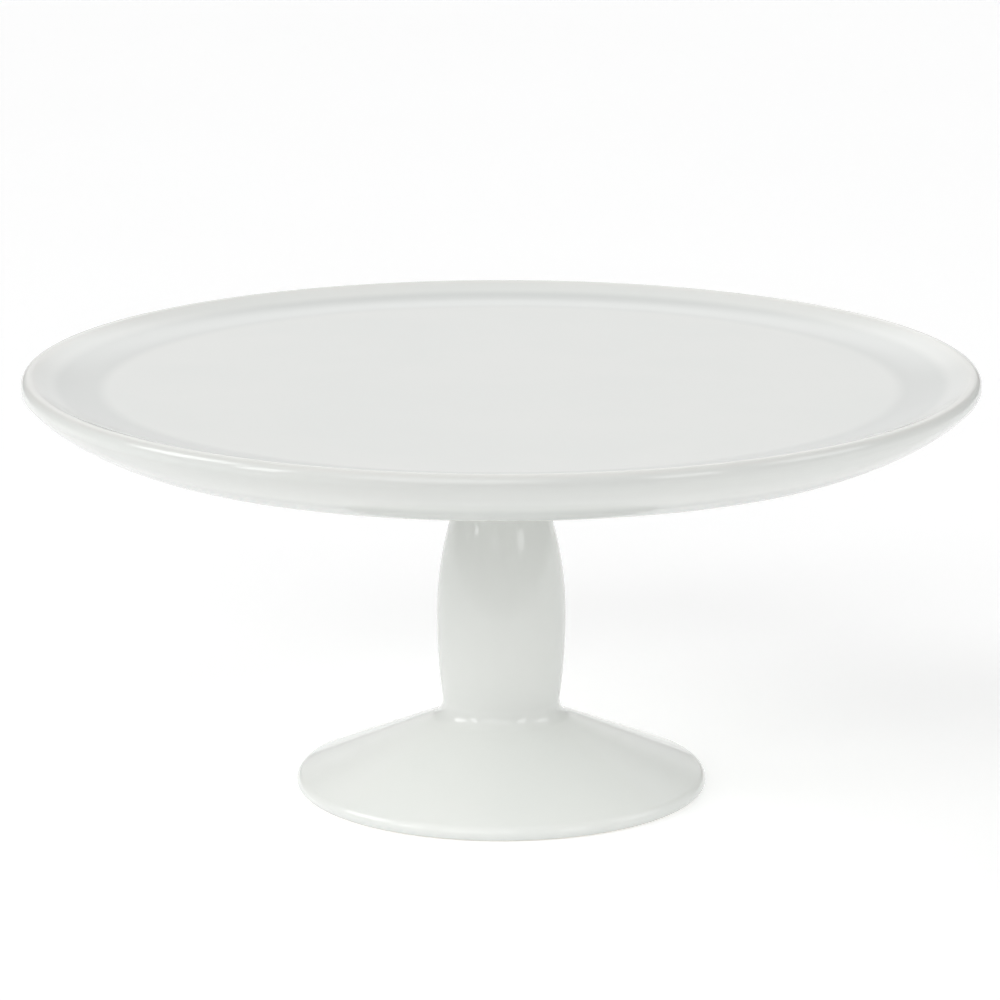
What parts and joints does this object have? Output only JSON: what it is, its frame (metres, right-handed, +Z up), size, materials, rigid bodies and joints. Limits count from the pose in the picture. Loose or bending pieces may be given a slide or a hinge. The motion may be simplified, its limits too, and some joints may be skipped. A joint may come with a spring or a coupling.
{
  "type": "cake stand",
  "caption": "Footed cake stand: shallow round plate with a raised rounded lip on a barrel stem and low conical foot, clamped together by a knob screw up the stem.",
  "frame": {"origin": "centre of the foot's resting plane", "axes": "+Z up along the stand's axis of symmetry; +X and +Y across the round plate, with no preferred side"},
  "size_m": [0.32, 0.32, 0.144],
  "materials": {
    "glaze": "gloss white glaze",
    "brass": "turned",
    "cement": "fine cast cement",
    "gasket_rubber": "translucent white silicone",
    "washer_rubber": "matt black",
    "steel": "zinc plated",
    "knob_plastic": "fine matt grain"
  },
  "bodies": {
    "pedestal": {"pedestal": "glaze", "seat_gasket": "gasket_rubber"},
    "plate": {"cake_plate": "glaze", "threaded_insert": "brass", "insert_cement": "cement"},
    "washer_stack": {"cushion_washer": "washer_rubber", "bearing_washer": "steel"},
    "knob_screw": {"clamp_rod": "steel", "hand_knob": "knob_plastic"}
  },
  "joints": [
    {"name": "plate_lift", "type": "slide", "parent": "pedestal", "child": "plate", "axis": [0, 0, 1], "range_m": [0, 0.04]},
    {"name": "washer_drop", "type": "slide", "parent": "pedestal", "child": "washer_stack", "axis": [0, 0, -1], "range_m": [0, 0.01]},
    {"name": "knob_turn", "type": "hinge", "parent": "washer_stack", "child": "knob_screw", "pos_m": [0, 0, 0.0165], "axis": [0, 0, -1], "range_deg": [0, 2880]}
  ],
  "couplings": [
    {"joint": "knob_turn", "follows": "washer_drop", "rad_per_m": 5026.5}
  ]
}
